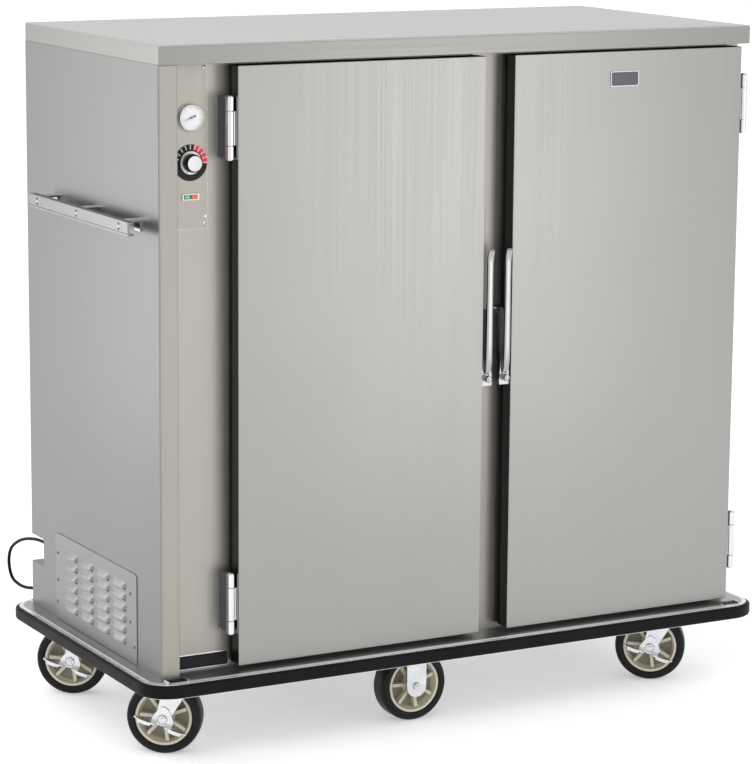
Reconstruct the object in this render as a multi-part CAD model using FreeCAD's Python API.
"""Heated proofing cabinet on casters: two doors, control column, bumper rail.

Frame: millimetres, +X right, +Y back, +Z up.  The origin is on the floor under the middle of
the bumper rail.  The door faces lie in the plane Y = -DEPTH / 2.
"""
import FreeCAD, Part
import math
import os

os.makedirs("parts", exist_ok=True)

# ---- driving dimensions --------------------------------------------------------------------
WIDTH = 1360.0            # cabinet body, left face to right face
DEPTH = 666.0             # door faces to back panel
HEIGHT = 1430.0           # floor to lid top
SHEET = 1.5               # outer sheet thickness
LID_H = 38.0              # depth of the folded lid rim
DECK_TOP = 187.0
DECK_T = 3.0
FACE_SET = 45.0           # door faces to the fixed front face behind them
DOOR_T = 38.0
DOOR_BOTTOM = 195.0
DOOR_GAP_TOP = 6.0
DOOR_W = 553.0
DOOR_LEFT_X = 167.0       # left face of the body to the first door
DOOR_MID_GAP = 67.0
DOOR_SHEET = 1.2
POST_W = 38.0             # folded front return of the left side
COLUMN_GAP_Z = 217.0      # top of the air slot under the control column
CHAMBER_LEFT = 202.0      # left face of the body to the chamber
STILE_W = 40.0
SILL_H = 33.0
HEADER_H = 40.0
MULLION_W = 117.0
RAIL_OUT = 44.0           # bumper face stands this far outside the body
RAIL_IN = 26.0
RAIL_Z0 = 156.0
RAIL_Z1 = 185.5
RAIL_CORNER = 65.0
CHANNEL_T = 1.5
WHEEL_R = 76.0
WHEEL_W = 48.0
RIM_R = 58.0
CASTER_IN = 97.0          # swivel centre from both body faces
CASTER_TRAIL = 43.0
CASTER_TURN = -35.0       # all four swivels stand turned like this at rest
FIXED_CASTER_X = 610.0    # left face of the body to the fixed casters
AXLE_R = 5.0
PIN_FIT = 0.05            # radial running clearance
HINGE_OUT = 13.5          # hinge axis outside the door edge
HINGE_BACK = 9.0          # hinge axis behind the door face
KNUCKLE_R = 8.0
PIN_R = 3.5
HINGE_LEN = 123.0
HINGE_Z = (322.0, 1266.0)
LATCH_PIVOT_Z = 728.0
LATCH_PIVOT_BACK = 15.0
LATCH_PIN_R = 3.0
LEVER_TOP_Z = 996.0
CONTROL_X = 85.6          # left face of the body to the middle of the controls
GAUGE_Z = 1286.0
KNOB_Z = 1199.0
SWITCH_Z = 1132.5
HANDLE_Z = 1075.0          # middle of the push handle
HANDLE_Y0 = -277.0
HANDLE_Y1 = 222.0
HANDLE_ARMS = (-234.0, -26.0, 177.0)
NOTCH_DEPTH = 65.0
NOTCH_W = 60.0
NOTCH_Z = (282.0, 341.0)
CORD_D = 7.0
COIL_R = 39.0             # middle of the coil's turns
COIL_AT = (-60.0, 458.0)
SHELF_Z = (446.0, 672.0, 898.0, 1124.0)

# ---- worked-out places ---------------------------------------------------------------------
XL = -WIDTH / 2
XR = WIDTH / 2
YF = -DEPTH / 2
YB = DEPTH / 2
YS = YF + FACE_SET                      # fixed front face
BODY_TOP = HEIGHT - LID_H
DOOR_TOP = BODY_TOP - DOOR_GAP_TOP
POST_X = XL + POST_W
CHAMBER_X0 = XL + CHAMBER_LEFT
CHAMBER_X1 = XR - STILE_W
CHAMBER_Z0 = DECK_TOP + SILL_H
CHAMBER_Z1 = BODY_TOP - HEADER_H
CHAMBER_YB = YB - 40.0
LINER_T = 1.0
DOOR_X = (XL + DOOR_LEFT_X, XL + DOOR_LEFT_X + DOOR_W + DOOR_MID_GAP)
GAP_X0 = DOOR_X[0] + DOOR_W
GAP_MID = GAP_X0 + DOOR_MID_GAP / 2
CTRL_X = XL + CONTROL_X
PLATE_Y = YS - SHEET                    # front of the control plate
SWITCH_X = CTRL_X
SWITCH_HALF_H = 4.0                      # half the rocker's height
SWITCH_PIVOT_Y = YS + 4.5
SWITCH_PIN_R = 2.0
HINGE_Y = YF + HINGE_BACK
HINGE_X = (DOOR_X[0] - HINGE_OUT, DOOR_X[1] + DOOR_W + HINGE_OUT)
LATCH_Y = YF + LATCH_PIVOT_BACK
X_AXIS = FreeCAD.Vector(1, 0, 0)
Y_AXIS = FreeCAD.Vector(0, 1, 0)
Z_AXIS = FreeCAD.Vector(0, 0, 1)


# ---- small tools ---------------------------------------------------------------------------
def vec(x, y, z):
    return FreeCAD.Vector(x, y, z)


def box(x0, x1, y0, y1, z0, z1):
    return Part.makeBox(x1 - x0, y1 - y0, z1 - z0, vec(x0, y0, z0))


def rod(radius, start, axis, length):
    return Part.makeCylinder(radius, length, start, axis)


def fuse(shapes):
    return shapes[0].multiFuse(shapes[1:]).removeSplitter()


def mirror_x(shape, x):
    return shape.mirror(vec(x, 0, 0), X_AXIS)


def round_edges(shape, radius, wanted):
    edges = [edge for edge in shape.Edges if wanted(edge)]
    return shape.makeFillet(radius, edges)


def along(edge, axis):
    if not isinstance(edge.Curve, Part.Line):
        return False
    return edge.tangentAt(edge.FirstParameter).cross(axis).Length < 1e-6


def save(node, shapes):
    solids = []
    for shape in shapes:
        solids.extend(shape.Solids)
    for solid in solids:
        if not solid.isValid():
            print("NOT VALID", node)
    Part.makeCompound(solids).exportStep("parts/" + node + ".step")


def prism_y(points, y0, y1):
    """Extrude an X-Z outline from y0 to y1."""
    wire = Part.makePolygon([vec(x, y0, z) for x, z in points + points[:1]])
    return Part.Face(wire).extrude(vec(0, y1 - y0, 0))


def prism_x(points, x0, x1):
    """Extrude a Y-Z outline from x0 to x1."""
    wire = Part.makePolygon([vec(x0, y, z) for y, z in points + points[:1]])
    return Part.Face(wire).extrude(vec(x1 - x0, 0, 0))


# ---- base: frame, deck, bumper rail --------------------------------------------------------
def rounded_block(out, z0, z1):
    """A block that stands `out` outside the body, with the rail's rounded corners."""
    block = box(XL - out, XR + out, YF - out, YB + out, z0, z1)
    radius = RAIL_CORNER - (RAIL_OUT - out)
    return round_edges(block, radius, lambda edge: along(edge, Z_AXIS))


def split_ring(ring):
    """Cut a rail ring into four straight runs and four corner pieces."""
    far = RAIL_OUT + 20.0
    reach = RAIL_CORNER - RAIL_OUT
    cuts_x = (XL - far, XL + reach, XR - reach, XR + far)
    cuts_y = (YF - far, YF + reach, YB - reach, YB + far)
    pieces = []
    for i in range(3):
        for j in range(3):
            if (i, j) != (1, 1):
                cell = box(cuts_x[i], cuts_x[i + 1], cuts_y[j], cuts_y[j + 1], 100, 250)
                pieces.append(ring.common(cell))
    return pieces


def bumper():
    outer = rounded_block(RAIL_OUT, RAIL_Z0 + CHANNEL_T, RAIL_Z1 - CHANNEL_T)
    rim = [edge for edge in outer.Edges if abs(edge.BoundBox.ZLength) < 1e-6]
    outer = outer.makeFillet(6.0, rim)
    ring = outer.cut(rounded_block(RAIL_IN + CHANNEL_T, RAIL_Z0 - 9, RAIL_Z1 + 9))
    save("bumper", split_ring(ring))


def bumper_channel():
    lip_out = RAIL_OUT - 8.0
    profile = rounded_block(lip_out, RAIL_Z0, RAIL_Z1)
    profile = profile.cut(rounded_block(RAIL_IN, RAIL_Z0 - 9, RAIL_Z1 + 9))
    groove = rounded_block(lip_out + 9, RAIL_Z0 + CHANNEL_T, RAIL_Z1 - CHANNEL_T)
    groove = groove.cut(rounded_block(RAIL_IN + CHANNEL_T, RAIL_Z0 - 9, RAIL_Z1 + 9))
    save("bumper_channel", split_ring(profile.cut(groove)))


def base_deck():
    deck = rounded_block(RAIL_IN, DECK_TOP - DECK_T, DECK_TOP)
    save("base_deck", [deck])


def base_frame():
    bar, z0, z1 = 22.0, 158.0, DECK_TOP - DECK_T
    x0, x1, y0, y1 = XL + 3, XR - 3, YF + 3, YB - 3
    bars = [box(x0, x1, y0, y0 + bar, z0, z1), box(x0, x1, y1 - bar, y1, z0, z1)]
    for x in (x0, x1 - bar, XL + 340, XR - 362):
        bars.append(box(x, x + bar, y0 + bar, y1 - bar, z0, z1))
    save("base_frame", bars)


# ---- cabinet shell -------------------------------------------------------------------------
def side_panel_left():
    """Left side with its folded front post, the vent window and the cord notch."""
    z0, z1 = DECK_TOP, BODY_TOP
    inner_y = YS + SHEET
    post = round_edges(box(XL, POST_X, YF, inner_y, z0, z1), 7.0,
                       lambda edge: along(edge, Z_AXIS) and edge.CenterOfMass.x < XL + 1
                       and edge.CenterOfMass.y < YF + 1)
    hollow = box(XL + SHEET, POST_X - SHEET, YF + SHEET, inner_y + 1, z0 - 1, z1 + 1)
    hollow = round_edges(hollow, 7.0 - SHEET,
                         lambda edge: along(edge, Z_AXIS) and edge.CenterOfMass.x < XL + 3
                         and edge.CenterOfMass.y < YF + 3)
    panel = fuse([post.cut(hollow), box(XL, XL + SHEET, inner_y - 1, YB, z0, z1)])
    panel = panel.cut(box(XL - 1, XL + 9, YB - NOTCH_DEPTH, YB + 9, *NOTCH_Z))
    panel = panel.cut(box(XL - 1, XL + 9, -180, 165, 206, 356))
    save("side_panel_left", [panel])


def side_panel_right():
    save("side_panel_right", [box(XR - SHEET, XR, YS, YB, DECK_TOP, BODY_TOP)])


def back_panel():
    """Back sheet, with the folded recess that the supply cord leaves from."""
    z0, z1 = NOTCH_Z
    x0, x1 = XL + SHEET, XL + NOTCH_W
    y0 = YB - NOTCH_DEPTH
    sheet = box(x0, XR - SHEET, YB - SHEET, YB, DECK_TOP, BODY_TOP)
    sheet = sheet.cut(box(x0 - 1, x1, YB - 9, YB + 9, z0, z1))
    recess = [box(x0, x1 + SHEET, y0 - SHEET, y0, z0 - SHEET, z1 + SHEET),
              box(x0, x1 + SHEET, y0, YB - SHEET, z1, z1 + SHEET),
              box(x0, x1 + SHEET, y0, YB - SHEET, z0 - SHEET, z0),
              box(x1, x1 + SHEET, y0, YB - SHEET, z0, z1)]
    panel = fuse([sheet] + recess)
    hole = rod(5.0, vec(XL + 25, y0 - 9, 320), Y_AXIS, 20)
    save("back_panel", [panel.cut(hole)])


def top_lid():
    """Folded lid pan, closed underneath where it stands out over the doors."""
    lid = box(XL, XR, YF, YB, BODY_TOP, HEIGHT)
    lid = round_edges(lid, 2.0, lambda edge: edge.CenterOfMass.z > HEIGHT - 1 or along(edge, Z_AXIS))
    hollow = box(XL + SHEET, XR - SHEET, YF + SHEET, YB - SHEET, BODY_TOP + SHEET, HEIGHT - SHEET)
    open_below = box(XL + SHEET, XR - SHEET, YS, YB - SHEET, BODY_TOP - 1, HEIGHT - 9)
    save("top_lid", [lid.cut(hollow).cut(open_below)])


def control_column():
    """Fixed face beside the doors, on a narrow foot beside the air slot, with the slot's lip."""
    slot_x = XL + 163
    face = box(POST_X, CHAMBER_X0, YS, YS + SHEET, COLUMN_GAP_Z, BODY_TOP)
    gauge_hole = rod(20.0, vec(CTRL_X, YS - 1, GAUGE_Z), Y_AXIS, 9)
    knob_hole = rod(6.0, vec(CTRL_X, YS - 1, KNOB_Z), Y_AXIS, 9)
    switch_hole = box(SWITCH_X - 14.5, SWITCH_X + 14.5, YS - 1, YS + 9, SWITCH_Z - 6.5, SWITCH_Z + 6.5)
    face = face.cut(gauge_hole).cut(knob_hole).cut(switch_hole)
    foot = box(slot_x, CHAMBER_X0, YS, YS + SHEET, DECK_TOP, COLUMN_GAP_Z)
    lip = box(POST_X, slot_x, YS + SHEET, YS + 14, COLUMN_GAP_Z, COLUMN_GAP_Z + SHEET)
    save("control_column", [face, foot, lip])


def front_frame():
    """Sill, header, mullion and hinge stile, with the two latch strikes."""
    y1, y2 = YS + SHEET, YS + 26
    x0, x1 = CHAMBER_X0, XR - SHEET
    sill = fuse([box(x0, x1, YS, y1, DECK_TOP, CHAMBER_Z0),
                 box(x0, x1, y1, y2, CHAMBER_Z0 - SHEET, CHAMBER_Z0)])
    header = fuse([box(x0, x1, YS, y1, CHAMBER_Z1, BODY_TOP),
                   box(x0, x1, y1, y2, CHAMBER_Z1, CHAMBER_Z1 + SHEET)])
    m0, m1 = GAP_MID - MULLION_W / 2, GAP_MID + MULLION_W / 2
    mullion = fuse([box(m0, m1, YS, y1, CHAMBER_Z0, CHAMBER_Z1),
                    box(m0, m0 + SHEET, y1, y2, CHAMBER_Z0, CHAMBER_Z1),
                    box(m1 - SHEET, m1, y1, y2, CHAMBER_Z0, CHAMBER_Z1)])
    stile = fuse([box(CHAMBER_X1, x1, YS, y1, CHAMBER_Z0, CHAMBER_Z1),
                  box(CHAMBER_X1, CHAMBER_X1 + SHEET, y1, y2, CHAMBER_Z0, CHAMBER_Z1)])
    strikes = []
    for x in (GAP_X0 + 5, GAP_X0 + DOOR_MID_GAP - 23):
        strikes.append(box(x, x + 18, YS - 5, YS, LATCH_PIVOT_Z - 13, LATCH_PIVOT_Z + 13))
    save("front_frame", [sill, header, mullion, stile] + strikes)


def inner_liner():
    """Chamber walls; the left one has rows of warm-air slots."""
    t = LINER_T
    x0, x1, y0, y1 = CHAMBER_X0, CHAMBER_X1, YS + SHEET, CHAMBER_YB
    z0, z1 = CHAMBER_Z0, CHAMBER_Z1
    left = box(x0 - t, x0, y0, y1, z0 - t, z1 + t)
    for row in range(6):
        z = z0 + 150 + row * 160
        left = left.cut(box(x0 - 9, x0 + 9, y0 + 160, y0 + 400, z, z + 12))
    walls = [left, box(x1, x1 + t, y0 + 25, y1, z0 - t, z1 + t),
             box(x0, x1, y1, y1 + t, z0 - t, z1 + t),
             box(x0, x1, y0 + 25, y1, z1, z1 + t),
             box(x0, x1, y0 + 25, y1, z0 - t, z0)]
    save("inner_liner", walls)


def insulation():
    """Mineral-wool slabs between the liner and the outer sheets."""
    t = LINER_T
    x0, x1, y0, y1 = CHAMBER_X0 - t, CHAMBER_X1 + t, YS + SHEET + 25.5, YB - SHEET
    z0, z1 = CHAMBER_Z0 - t, CHAMBER_Z1 + t
    back_y = CHAMBER_YB + t
    slabs = [box(x0 - 38, x0, y0, y1, DECK_TOP, BODY_TOP),
             box(x1, XR - SHEET, y0, y1, DECK_TOP, BODY_TOP),
             box(x0, x1, back_y, y1, DECK_TOP, BODY_TOP),
             box(x0, x1, y0, back_y, z1, BODY_TOP),
             box(x0, x1, y0, back_y, DECK_TOP, z0)]
    for row in range(6):
        z = CHAMBER_Z0 + 150 + row * 160
        slabs[0] = slabs[0].cut(box(x0 - 99, x0 + 9, YS + SHEET + 160, YS + SHEET + 400, z, z + 12))
    save("insulation", slabs)


# ---- inside --------------------------------------------------------------------------------
def shelving():
    """Six posts and four wire shelves in each bay."""
    post_w, post_d, bar = 15.0, 25.0, 6.0
    bays = ((CHAMBER_X0 + post_w, GAP_MID - post_w / 2), (GAP_MID + post_w / 2, CHAMBER_X1 - post_w))
    front, back = YS + 28, CHAMBER_YB
    pieces = []
    for x in (CHAMBER_X0, GAP_MID - post_w / 2, CHAMBER_X1 - post_w):
        for y in (front, back - post_d):
            pieces.append(box(x, x + post_w, y, y + post_d, CHAMBER_Z0, CHAMBER_Z1))
    for x0, x1 in bays:
        for z in SHELF_Z:
            bars = [box(x0, x1, front, front + bar, z, z + bar),
                    box(x0, x1, back - bar, back, z, z + bar),
                    box(x0, x0 + bar, front, back, z, z + bar),
                    box(x1 - bar, x1, front, back, z, z + bar)]
            wires = 12
            for i in range(1, wires):
                x = x0 + (x1 - x0) * i / wires
                bars.append(box(x - 1.5, x + 1.5, front, back, z + 2, z + bar))
            pieces.append(fuse(bars))
    save("shelving", pieces)


def water_pan():
    x0, x1, y0, y1, z0 = 420.0, 600.0, -120.0, 180.0, CHAMBER_Z0
    pan = box(x0, x1, y0, y1, z0, z0 + 60)
    save("water_pan", [pan.cut(box(x0 + 1, x1 - 1, y0 + 1, y1 - 1, z0 + 1, z0 + 99))])


BLOWER = vec(-655.0, 60.0, 470.0)


def blower_motor():
    """Motor on a bracket, with its shaft reaching to the blower wheel."""
    motor = rod(42.0, BLOWER, X_AXIS, 60)
    shaft = rod(4.0, BLOWER + vec(60, 0, 0), X_AXIS, 66)
    bracket = fuse([box(-678.5, -675.5, 0, 120, 410, 530), box(-675.5, -655, 30, 90, 440, 500)])
    save("blower_motor", [fuse([motor, shaft]), bracket])


def blower_wheel():
    """Drum of curved blades on a hub."""
    x0 = BLOWER.x + 80
    back = rod(62.0, vec(x0, BLOWER.y, BLOWER.z), X_AXIS, 2)
    hub = rod(10.0, vec(x0, BLOWER.y, BLOWER.z), X_AXIS, 30)
    rim = rod(62.0, vec(x0 + 38, BLOWER.y, BLOWER.z), X_AXIS, 2)
    rim = rim.cut(rod(48.0, vec(x0 + 37, BLOWER.y, BLOWER.z), X_AXIS, 9))
    parts = [back, hub, rim]
    blades = 16
    for i in range(blades):
        blade = box(x0 + 1, x0 + 39, BLOWER.y - 1, BLOWER.y + 1, BLOWER.z + 50, BLOWER.z + 60)
        blade.rotate(BLOWER, X_AXIS, i * 360.0 / blades)
        parts.append(blade)
    wheel = fuse(parts).cut(rod(4.0 + PIN_FIT, BLOWER + vec(70, 0, 0), X_AXIS, 70))
    save("blower_wheel", [wheel])


def heater_element():
    """One tube bent into four upright runs."""
    radius, pitch, z0, z1 = 4.2, 44.0, 600.0, 860.0
    x, y0 = -560.0, -20.0
    runs = [rod(radius, vec(x, y0 + i * pitch, z0), Z_AXIS, z1 - z0) for i in range(4)]
    bends = []
    for i in range(3):
        torus = Part.makeTorus(pitch / 2, radius, vec(0, 0, 0), X_AXIS)
        top = i % 2 == 0
        z = z1 if top else z0
        torus.translate(vec(x, y0 + (i + 0.5) * pitch, z))
        keep = box(x - 20, x + 20, y0 - 50, y0 + 250, z if top else z - 60, z + 60 if top else z)
        bends.append(torus.common(keep))
    plate = box(x - 25, x + 25, y0 - 12, y0 + 3 * pitch + 12, z0 - 44, z0 - 41)
    tails = [rod(radius, vec(x, y0 + i * pitch, z0 - 41), Z_AXIS, 41) for i in (0, 3)]
    save("heater_element", [fuse(runs + bends + tails), plate])


# ---- control plate and instruments ---------------------------------------------------------
def control_plate():
    plate = box(CTRL_X - 36, CTRL_X + 36, PLATE_Y, YS, 1069.5, BODY_TOP - 0.5)
    gauge_hole = rod(20.0, vec(CTRL_X, YS - 9, GAUGE_Z), Y_AXIS, 20)
    knob_hole = rod(6.0, vec(CTRL_X, YS - 9, KNOB_Z), Y_AXIS, 20)
    switch_hole = box(SWITCH_X - 14.5, SWITCH_X + 14.5, YS - 9, YS + 9,
                      SWITCH_Z - SWITCH_HALF_H - 0.6, SWITCH_Z + SWITCH_HALF_H + 0.6)
    cheeks = []
    for z in (SWITCH_Z - 10.4, SWITCH_Z + 6.4):
        cheek = box(SWITCH_X - 6, SWITCH_X + 6, YS + SHEET, SWITCH_PIVOT_Y + 4, z, z + 4)
        hole = rod(SWITCH_PIN_R + PIN_FIT, vec(SWITCH_X, SWITCH_PIVOT_Y, z - 1), Z_AXIS, 6)
        cheeks.append(cheek.cut(hole))
    save("control_plate", [plate.cut(gauge_hole).cut(knob_hole).cut(switch_hole)] + cheeks)


def thermometer():
    """Dial case with a pointer that turns on a pin."""
    at = vec(CTRL_X, PLATE_Y - 9, GAUGE_Z)
    cup = rod(27.0, at, Y_AXIS, 9)
    cup = cup.cut(rod(24.5, at - Y_AXIS, Y_AXIS, 7))
    stem = rod(19.5, at + vec(0, 6, 0), Y_AXIS, 40)
    pin = rod(0.9, at + vec(0, 2, 0), Y_AXIS, 5)
    save("thermometer_case", [fuse([cup, stem, pin])])
    needle = fuse([rod(2.4, at + vec(0, 3.2, 0), Y_AXIS, 1.2),
                   box(CTRL_X - 1.0, CTRL_X + 1.0, at.y + 3.4, at.y + 4.0, GAUGE_Z - 8, GAUGE_Z + 19)])
    needle = needle.cut(rod(0.9 + PIN_FIT, at, Y_AXIS, 9))
    needle.rotate(at, Y_AXIS, -112)
    save("thermometer_needle", [needle])


def thermostat():
    """Round scale plate with the control body behind it, and the knob in front."""
    scale = rod(35.5, vec(CTRL_X, PLATE_Y - 1, KNOB_Z), Y_AXIS, 1)
    neck = rod(5.5, vec(CTRL_X, PLATE_Y - 1, KNOB_Z), Y_AXIS, 10)
    body = box(CTRL_X - 20, CTRL_X + 20, YS + 3, YS + 38, KNOB_Z - 20, KNOB_Z + 20)
    spindle = rod(3.0, vec(CTRL_X, PLATE_Y - 14, KNOB_Z), Y_AXIS, 13)
    save("thermostat_dial", [fuse([scale, neck, body, spindle])])
    front = PLATE_Y - 1.4
    skirt = rod(23.0, vec(CTRL_X, front - 2.5, KNOB_Z), Y_AXIS, 2.5)
    grip = Part.makeCone(16.5, 18.0, 17.5, vec(CTRL_X, front - 20, KNOB_Z), Y_AXIS)
    knob = fuse([skirt, grip]).cut(rod(3.0 + PIN_FIT, vec(CTRL_X, PLATE_Y - 15, KNOB_Z), Y_AXIS, 20))
    save("thermostat_knob", [knob])


def rocker_switch():
    """Rocker with a stub pin at each end, which turns in the cheeks on the control plate."""
    x, y = SWITCH_X, SWITCH_PIVOT_Y
    paddle = box(x - 13.5, x + 13.5, PLATE_Y - 3.5, y + 3.5, SWITCH_Z - SWITCH_HALF_H,
                 SWITCH_Z + SWITCH_HALF_H)
    paddle = round_edges(paddle, 1.5, lambda edge: along(edge, Z_AXIS))
    pin = rod(SWITCH_PIN_R, vec(x, y, SWITCH_Z - 10), Z_AXIS, 20)
    save("switch_rocker", [fuse([paddle, pin])])


# ---- left side fittings --------------------------------------------------------------------
def vent_panel():
    """Louvred plate over the vent window."""
    y0, y1, z0, z1, x = -215.0, 199.0, 189.0, 373.0, XL - SHEET
    plate = box(x, XL, y0, y1, z0, z1)
    plate = round_edges(plate, 10.0, lambda edge: along(edge, X_AXIS) and edge.CenterOfMass.z > z1 - 1)
    plate = plate.cut(box(x - 1, XL + 1, -170, 155, 216, 346))
    parts = [plate, box(x, XL, -172, 157, 210, 217), box(x, XL, -172, 157, 345, 352)]
    pitch_y, length, rows, pitch_z = 82.0, 66.0, 6, 22.5
    for col in range(5):
        yc = -171 + col * pitch_y
        parts.append(box(x, XL, yc - 9, yc + 9, 212, 350))
    for row in range(rows):
        z = 215 + row * pitch_z
        for col in range(4):
            ya = -171 + col * pitch_y + (pitch_y - length) / 2
            hood = prism_y([(x, z + 20), (x - 6, z + 8), (x - 5, z + 7), (XL, z + 19), (XL, z + 22),
                            (x, z + 22)], ya - 1, ya + length + 1)
            parts.append(hood)
    save("vent_panel", [fuse(parts)])


def push_handle():
    """Rail on three brackets."""
    y0, y1, z0, z1 = HANDLE_Y0, HANDLE_Y1, HANDLE_Z - 13.5, HANDLE_Z + 13.5
    x0 = XL - 42.0
    rail = fuse([box(x0, x0 + 4, y0, y1, z0, z1), box(x0 + 4, x0 + 14, y0, y1, z1 - 3, z1),
                 box(x0 + 4, x0 + 14, y0, y1, z0, z0 + 3)])
    pieces = [rail]
    for y in HANDLE_ARMS:
        near, far = y - 14, y + 14
        outer = box(x0 + 4, x0 + 7, near, far, z0 + 3, z1 - 3)
        step = box(x0 + 7, x0 + 17.3, near, far, z1 - 7, z1 - 3)
        arm = box(x0 + 14.3, XL, near, far, z1 - 4, z1)
        foot = box(XL - 3, XL, near, far, z0 + 3, z1)
        pieces.append(fuse([outer, step, arm, foot]))
    save("push_handle", pieces)


VENT_SCREWS = ((188.0, 330.0), (188.0, 272.0), (191.0, 225.0),
               (-184.0, 328.0), (-184.0, 270.0), (-203.0, 222.0))


def fasteners():
    """Screws and rivets that hold the vent plate, the control plate and the handle."""
    heads = []
    for y, z in VENT_SCREWS:
        heads.append(rod(3.2, vec(XL - SHEET - 1.6, y, z), X_AXIS, 1.6))
    for z in (1082.0, BODY_TOP - 10):
        heads.append(rod(3.5, vec(CTRL_X + 29, PLATE_Y - 1.6, z), Y_AXIS, 1.6))
    for y in HANDLE_ARMS:
        for z in (HANDLE_Z - 3.5, HANDLE_Z + 6.5):
            heads.append(rod(2.6, vec(XL - 42 - 1.4, y, z), X_AXIS, 1.4))
    for x, y in caster_places():
        for dx in (-40, 40):
            for dy in (-32, 32):
                heads.append(rod(6.5, vec(x + dx, y + dy, DECK_TOP - DECK_T - 9.5), Z_AXIS, 4.5))
    save("fasteners", heads)


# ---- hinges, doors and latches -------------------------------------------------------------
KNUCKLES = ((0.0, 0.22), (0.22, 0.77), (0.77, 1.0))


def knuckle(x, z0, span, hole_r, gap):
    low = z0 + HINGE_LEN * span[0] + gap
    high = z0 + HINGE_LEN * span[1] - gap
    barrel = rod(KNUCKLE_R, vec(x, HINGE_Y, low), Z_AXIS, high - low)
    return barrel.cut(rod(hole_r, vec(x, HINGE_Y, low - 1), Z_AXIS, high - low + 2))


def body_leaf(zc):
    """Left-hand leaf on the fixed face, with the two outer knuckles and the pin."""
    x, z0 = HINGE_X[0], zc - HINGE_LEN / 2
    plate = box(x - 10, x + 3, YS - 3, YS, z0, z0 + HINGE_LEN)
    web = box(x - 2, x + 1, HINGE_Y + KNUCKLE_R + 1.5, YS - 3, z0, z0 + HINGE_LEN)
    parts = [plate, web]
    for span in (KNUCKLES[0], KNUCKLES[2]):
        low, high = z0 + HINGE_LEN * span[0], z0 + HINGE_LEN * span[1]
        arm = box(x - 2, x + 1, HINGE_Y + PIN_R + 1, HINGE_Y + KNUCKLE_R + 2, low, high)
        parts.append(fuse([knuckle(x, z0, span, PIN_R, 0.0), arm]))
    pin = rod(PIN_R, vec(x, HINGE_Y, z0), Z_AXIS, HINGE_LEN)
    return [fuse(parts), pin]


def door_leaf(zc):
    """Left-hand leaf on the door edge, with the middle knuckle."""
    x, z0 = HINGE_X[0], zc - HINGE_LEN / 2
    edge = DOOR_X[0]
    plate = box(edge - 2.5, edge, YF + 2, YF + 33, z0, z0 + HINGE_LEN)
    low = z0 + HINGE_LEN * KNUCKLES[1][0] + 0.4
    high = z0 + HINGE_LEN * KNUCKLES[1][1] - 0.4
    arm = box(x + PIN_R + 1.5, edge - 1, HINGE_Y - 3, HINGE_Y + 3, low, high)
    return fuse([plate, arm, knuckle(x, z0, KNUCKLES[1], PIN_R + PIN_FIT, 0.4)])


def hinge_leaves():
    pieces = []
    for zc in HINGE_Z:
        for piece in body_leaf(zc):
            pieces.extend([piece, mirror_x(piece, (HINGE_X[0] + HINGE_X[1]) / 2)])
    save("hinge_leaves", pieces)


def latch_case():
    """Left-hand door's latch case with the lever's pin."""
    x, y, z = GAP_X0, LATCH_Y, LATCH_PIVOT_Z
    back = box(x, x + 25, YF + 34, YF + 37, z - 16, z + 142)
    cheek = [(YF + 35, z - 16), (YF + 35, z + 142), (YF + 22, z + 134), (YF + 13, z + 60),
             (YF + 4, z + 8), (YF + 6, z - 8), (YF + 16, z - 16)]
    cheeks = [prism_x(cheek, x, x + 2.5), prism_x(cheek, x + 22.5, x + 25)]
    pin = rod(LATCH_PIN_R, vec(x + 2.5, y, z), X_AXIS, 20)
    return fuse([back] + cheeks + [pin])


def latch_lever():
    """Left-hand lever: a long bar on a cam-shaped foot, with a turned-out tip."""
    x0, x1 = GAP_X0 + 5.0, GAP_X0 + 20.0
    z = LATCH_PIVOT_Z
    front = YF - 8.0
    bar = prism_x([(front + 2, z + 6), (front, z + 30), (front, LEVER_TOP_Z - 12),
                   (front - 5, LEVER_TOP_Z - 3), (front - 3, LEVER_TOP_Z), (front + 4, LEVER_TOP_Z - 3),
                   (front + 8, LEVER_TOP_Z - 14), (front + 9, z + 60), (LATCH_Y + 4, z + 6)], x0, x1)
    bar = round_edges(bar, 2.0, lambda edge: along(edge, Z_AXIS))
    foot = rod(12.5, vec(x0, LATCH_Y, z), X_AXIS, x1 - x0)
    cam = prism_x([(LATCH_Y - 10, z - 7), (LATCH_Y + 7, z - 16), (LATCH_Y + 15, z - 9),
                   (LATCH_Y + 13, z + 3), (LATCH_Y + 6, z + 12), (LATCH_Y - 4, z + 4)], x0, x1)
    lever = fuse([bar, foot, cam])
    return lever.cut(rod(LATCH_PIN_R + PIN_FIT, vec(x0 - 1, LATCH_Y, z), X_AXIS, x1 - x0 + 2))


def door_pan(x0):
    """Outer pan and the sheet that closes its back."""
    x1, y1 = x0 + DOOR_W, YF + DOOR_T
    t = DOOR_SHEET
    pan = box(x0, x1, YF, y1, DOOR_BOTTOM, DOOR_TOP)
    pan = round_edges(pan, 2.5, lambda edge: edge.BoundBox.YMax < YF + 1 or along(edge, Y_AXIS))
    pan = pan.cut(box(x0 + t, x1 - t, YF + t, y1 + 1, DOOR_BOTTOM + t, DOOR_TOP - t))
    cover = box(x0 + t, x1 - t, y1 - 1.2, y1, DOOR_BOTTOM + t, DOOR_TOP - t)
    return [pan, cover]


def door_gasket(x0):
    x1, y0 = x0 + DOOR_W, YF + DOOR_T
    y1, w, inset = y0 + 6.5, 12.0, 9.0
    a, b = x0 + inset, x1 - inset
    z0, z1 = DOOR_BOTTOM + inset, DOOR_TOP - inset
    return [box(a, b, y0, y1, z0, z0 + w), box(a, b, y0, y1, z1 - w, z1),
            box(a, a + w, y0, y1, z0 + w, z1 - w), box(b - w, b, y0, y1, z0 + w, z1 - w)]


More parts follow.
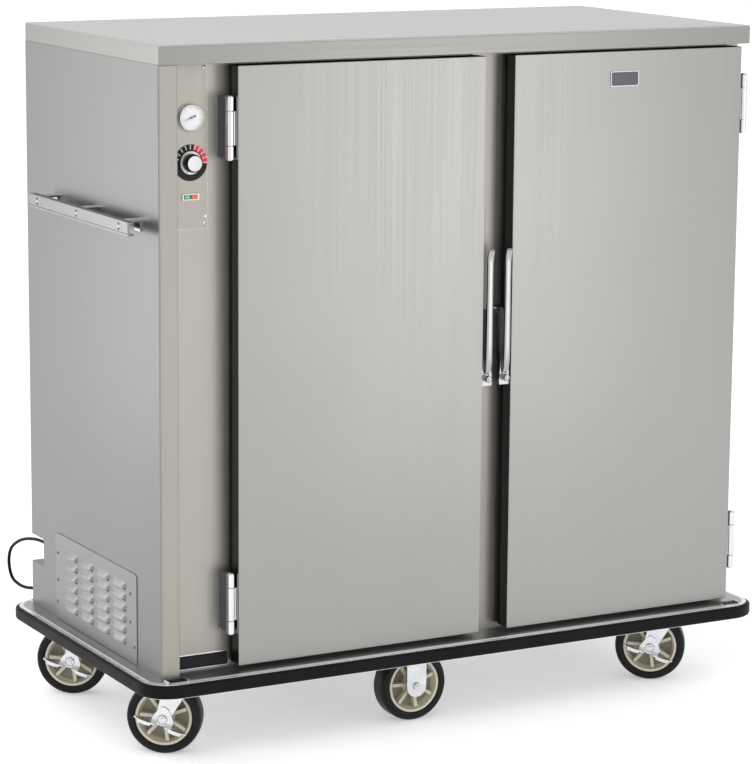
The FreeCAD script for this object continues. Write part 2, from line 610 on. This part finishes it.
def doors():
    hardware = [door_leaf(zc) for zc in HINGE_Z] + [latch_case()]
    for name, x0, flip in (("left", DOOR_X[0], False), ("right", DOOR_X[1], True)):
        save("door_" + name + "_pan", door_pan(x0))
        save("door_" + name + "_gasket", door_gasket(x0))
        pieces = [mirror_x(piece, GAP_MID) for piece in hardware] if flip else hardware
        save("door_" + name + "_hardware", pieces)
        lever = mirror_x(latch_lever(), GAP_MID) if flip else latch_lever()
        save("latch_lever_" + name, [lever])


# ---- casters -------------------------------------------------------------------------------
def swivel_places():
    places = []
    for fore, y in (("front", YF + CASTER_IN), ("back", YB - CASTER_IN)):
        for side, x in (("left", XL + CASTER_IN), ("right", XR - CASTER_IN)):
            places.append((fore + "_" + side, x, y))
    return places


def fixed_places():
    x = XL + FIXED_CASTER_X
    return [("front_middle", x, YF + CASTER_IN), ("back_middle", x, YB - CASTER_IN)]


def caster_places():
    return [(x, y) for _, x, y in swivel_places() + fixed_places()]


PLATE_Z = DECK_TOP - DECK_T - 5.0
RACE_Z = PLATE_Z - 8.0
KINGPIN_R = 8.0
LEG_IN = 28.0
LEG_OUT = 32.0


def caster_mounts():
    """Top plates, the swivels' upper races, and the two fixed forks."""
    pieces = []
    for _, x, y in swivel_places():
        plate = fuse([box(x - 52, x + 52, y - 44, y + 44, PLATE_Z, PLATE_Z + 5),
                      rod(33.0, vec(x, y, RACE_Z), Z_AXIS, 8.5)])
        pieces.append(plate.cut(rod(KINGPIN_R + PIN_FIT, vec(x, y, RACE_Z - 1), Z_AXIS, 8.5)))
    for _, x, y in fixed_places():
        pieces.append(fuse([box(x - 52, x + 52, y - 44, y + 44, PLATE_Z, PLATE_Z + 5),
                            box(x - 31, x + 31, y - LEG_OUT, y + LEG_OUT, PLATE_Z - 7, PLATE_Z)]
                           + fork_legs(x, y, 0.0, 23.0, -23.0, PLATE_Z - 5, 23.0)))
        pieces.append(axle(x, y, 0.0))
    save("caster_mounts", pieces)


def fork_legs(x, y, trail, lead, back, top, end_r):
    """Two round-ended plates that carry the axle, `trail` behind the fork's own centre."""
    legs = []
    for y0, y1 in ((-LEG_OUT, -LEG_IN), (LEG_IN, LEG_OUT)):
        outline = [(x + back, top), (x + lead, top), (x - trail + end_r, WHEEL_R),
                   (x - trail - end_r, WHEEL_R)]
        leg = fuse([prism_y(outline, y + y0, y + y1),
                    rod(end_r, vec(x - trail, y + y0, WHEEL_R), Y_AXIS, y1 - y0)])
        legs.append(leg.cut(rod(AXLE_R, vec(x - trail, y + y0 - 1, WHEEL_R), Y_AXIS, 9)))
    return legs


def axle(x, y, trail):
    """Axle bolt with a hexagon head and a nut."""
    at_x = x - trail
    bolt = rod(AXLE_R, vec(at_x, y - LEG_OUT, WHEEL_R), Y_AXIS, 2 * LEG_OUT)
    ends = []
    for y0 in (y - LEG_OUT - 6, y + LEG_OUT):
        corners = [(at_x + 9 * math.cos(math.radians(a)), WHEEL_R + 9 * math.sin(math.radians(a)))
                   for a in range(0, 360, 60)]
        ends.append(prism_y(corners, y0, y0 + 6))
    return fuse([bolt] + ends)


def swivel_fork(x, y):
    crown = fuse([rod(34.0, vec(x, y, RACE_Z - 8.5), Z_AXIS, 8.2),
                  box(x - 36, x + 28, y - LEG_OUT, y + LEG_OUT, RACE_Z - 8.5, RACE_Z - 3),
                  rod(KINGPIN_R, vec(x, y, RACE_Z - 2), Z_AXIS, 8.5)])
    fork = fuse([crown] + fork_legs(x, y, CASTER_TRAIL, 28.0, -36.0, RACE_Z - 4, 15.0))
    return [fork, axle(x, y, CASTER_TRAIL)]


def brake_pedal(x, y):
    """Two-winged rocker that turns on the axle outside the near leg."""
    at_x, y0 = x - CASTER_TRAIL, y - LEG_OUT - 0.4
    plate = prism_y([(at_x - 22, WHEEL_R - 12), (at_x + 22, WHEEL_R - 12), (at_x + 24, WHEEL_R + 2),
                     (at_x + 6, WHEEL_R + 24), (at_x - 8, WHEEL_R + 27), (at_x - 20, WHEEL_R + 4)],
                    y0 - 3, y0)
    parts = [plate]
    for side in (-1, 1):
        near, far = at_x + side * 12, at_x + side * 57
        wing = box(min(near, far), max(near, far), y0 - 20, y0, WHEEL_R - 12, WHEEL_R - 9)
        wing = round_edges(wing, 6.0, lambda edge: along(edge, Z_AXIS)
                           and abs(edge.CenterOfMass.x - far) < 1 and edge.CenterOfMass.y < y0 - 10)
        parts.append(wing)
    pedal = fuse(parts).cut(rod(10.0, vec(at_x, y0 - 30, WHEEL_R), Y_AXIS, 40))
    pedal.rotate(vec(at_x, y0, WHEEL_R), Y_AXIS, 18)
    return pedal


def tyre(x, y):
    ring = rod(WHEEL_R, vec(x, y - WHEEL_W / 2, WHEEL_R), Y_AXIS, WHEEL_W)
    ring = ring.makeFillet(9.0, [edge for edge in ring.Edges if isinstance(edge.Curve, Part.Circle)])
    return ring.cut(rod(RIM_R, vec(x, y - WHEEL_W, WHEEL_R), Y_AXIS, 2 * WHEEL_W))


def hub(x, y):
    width = WHEEL_W - 6
    rim = rod(RIM_R, vec(x, y - width / 2, WHEEL_R), Y_AXIS, width)
    rim = rim.cut(rod(RIM_R - 7, vec(x, y - width, WHEEL_R), Y_AXIS, 2 * width))
    web = rod(RIM_R - 6, vec(x, y - 3, WHEEL_R), Y_AXIS, 6)
    boss = rod(16.0, vec(x, y - LEG_IN + 1, WHEEL_R), Y_AXIS, 2 * LEG_IN - 2)
    parts = [rim, web, boss]
    ribs = 7
    for i in range(ribs):
        rib = box(x - 2.5, x + 2.5, y - 15, y + 15, WHEEL_R + 12, WHEEL_R + RIM_R - 6)
        rib.rotate(vec(x, y, WHEEL_R), Y_AXIS, 30 + i * 360.0 / ribs)
        parts.append(rib)
    return fuse(parts).cut(rod(AXLE_R + PIN_FIT, vec(x, y - 40, WHEEL_R), Y_AXIS, 80))


def casters():
    for name, x, y in swivel_places():
        turned = {"fork_" + name: swivel_fork(x, y), "brake_" + name: [brake_pedal(x, y)],
                  "hub_" + name: [hub(x - CASTER_TRAIL, y)], "tyre_" + name: [tyre(x - CASTER_TRAIL, y)]}
        for node, shapes in turned.items():
            for shape in shapes:
                shape.rotate(vec(x, y, 0), Z_AXIS, CASTER_TURN)
            save(node, shapes)
    for name, x, y in fixed_places():
        save("hub_" + name, [hub(x, y)])
        save("tyre_" + name, [tyre(x, y)])


# ---- supply cord ---------------------------------------------------------------------------
CORD_X = XL + 25.0
CORD_Z = 320.0
FLOOR_Z = CORD_D / 2 + 0.3
LEDGE_Z = DECK_TOP + CORD_D / 2 + 0.3
RELIEF_END = YB - NOTCH_DEPTH + 35.0

# Points of the cord's route, chosen by hand: out of the recess, round one open loop behind the
# cabinet, along the deck's back ledge, over the rail and down to the coil on the floor.
ROUTE = [
    (CORD_X, RELIEF_END, CORD_Z), (CORD_X, 352, 319), (CORD_X, 403, 311), (CORD_X, 452, 299),
    (-655, 497, 280), (-655, 527, 258), (-655, 535, 226), (-655, 517, 197), (-654, 480, 190.8),
    (-652, 441, 192), (-649, 403, 200), (-640, 369, 197), (-613, 351, 191.8), (-570, 348, LEDGE_Z),
    (-505, 350, LEDGE_Z), (-430, 348, LEDGE_Z), (-362, 351, 192), (-305, 362, 199),
    (-262, 382, 203), (-228, 405, 189), (-208, 420, 154), (-198, 425, 108),
    (-190, 427, 64), (-176, 428, 28), (-146, 426, 9), (-108, 422, FLOOR_Z),
    (-60, 419, FLOOR_Z),
]
TAIL = [(-60, 500, 17.8), (-118, 500, 13)]


def cord_tube(points):
    """Straight runs joined by arcs, each as large as its two runs allow."""
    spots = [vec(*point) for point in points]
    edges, radii, here = [], [], spots[0]
    for a, b, c in zip(spots, spots[1:], spots[2:]):
        into, out = (b - a), (c - b)
        half = into.getAngle(out) / 2
        reach = 0.45 * min(into.Length, out.Length)
        radii.append(reach / math.tan(half))
        into.normalize()
        out.normalize()
        start, end = b - into * reach, b + out * reach
        inward = out - into
        inward.normalize()
        middle = b + inward * (radii[-1] / math.cos(half) - radii[-1])
        edges.append(Part.LineSegment(here, start).toShape())
        edges.append(Part.Arc(start, middle, end).toShape())
        here = end
    edges.append(Part.LineSegment(here, spots[-1]).toShape())
    path = Part.Wire(edges)
    first = spots[1] - spots[0]
    section = Part.Wire([Part.makeCircle(CORD_D / 2, spots[0], first)])
    tube = path.makePipeShell([section], True, False)
    want = math.pi * CORD_D ** 2 / 4 * path.Length
    print("cord", round(path.Length), "mm, volume ratio", round(tube.Volume / want, 4),
          "radii", [round(radius) for radius in radii])
    return tube


def cord():
    run = vec(*TAIL[1]) - vec(*TAIL[0])
    tail = rod(CORD_D / 2, vec(*TAIL[0]), run, run.Length)
    save("power_cord", [cord_tube(ROUTE), tail])
    x, y = COIL_AT
    outer = COIL_R + CORD_D
    ring = rod(outer, vec(x, y, 0.3), Z_AXIS, 3 * CORD_D)
    ring = ring.cut(rod(COIL_R - CORD_D, vec(x, y, -1), Z_AXIS, 60))
    ring = ring.makeFillet(3.0, [edge for edge in ring.Edges if isinstance(edge.Curve, Part.Circle)])
    save("cord_coil", [ring])


def strain_relief():
    y0 = YB - NOTCH_DEPTH
    nut = rod(9.0, vec(CORD_X, y0, CORD_Z), Y_AXIS, 6)
    neck = rod(4.9, vec(CORD_X, y0 - SHEET - 6, CORD_Z), Y_AXIS, SHEET + 6)
    taper = Part.makeCone(7.0, 4.6, RELIEF_END - y0 - 6, vec(CORD_X, y0 + 6, CORD_Z), Y_AXIS)
    save("strain_relief", [fuse([nut, neck, taper])])


def power_plug():
    """Moulded plug lying on the floor with its three pins."""
    x0, y, z = TAIL[1]
    grip = box(x0 - 34, x0 - 8, y - 13, y + 13, 0.3, 25.7)
    grip = round_edges(grip, 5.0, lambda edge: along(edge, X_AXIS))
    neck = Part.makeCone(8.5, 5.0, 10, vec(x0 - 10, y, z), X_AXIS)
    blades = [box(x0 - 52, x0 - 33, y - 7.2, y - 5.7, z - 3, z + 3.5),
              box(x0 - 52, x0 - 33, y + 5.7, y + 7.2, z - 3, z + 3.5),
              rod(2.4, vec(x0 - 55, y, z - 6.5), X_AXIS, 22)]
    save("power_plug", [fuse([grip, neck] + blades)])


def main():
    for make in (base_frame, base_deck, bumper, bumper_channel, side_panel_left, side_panel_right,
                 back_panel, top_lid, control_column, front_frame, inner_liner, insulation,
                 shelving, water_pan, blower_motor, blower_wheel, heater_element, control_plate,
                 thermometer, thermostat, rocker_switch, vent_panel, push_handle, fasteners,
                 hinge_leaves, doors, caster_mounts, casters, cord, strain_relief, power_plug):
        make()
    print(len(os.listdir("parts")), "nodes")


main()
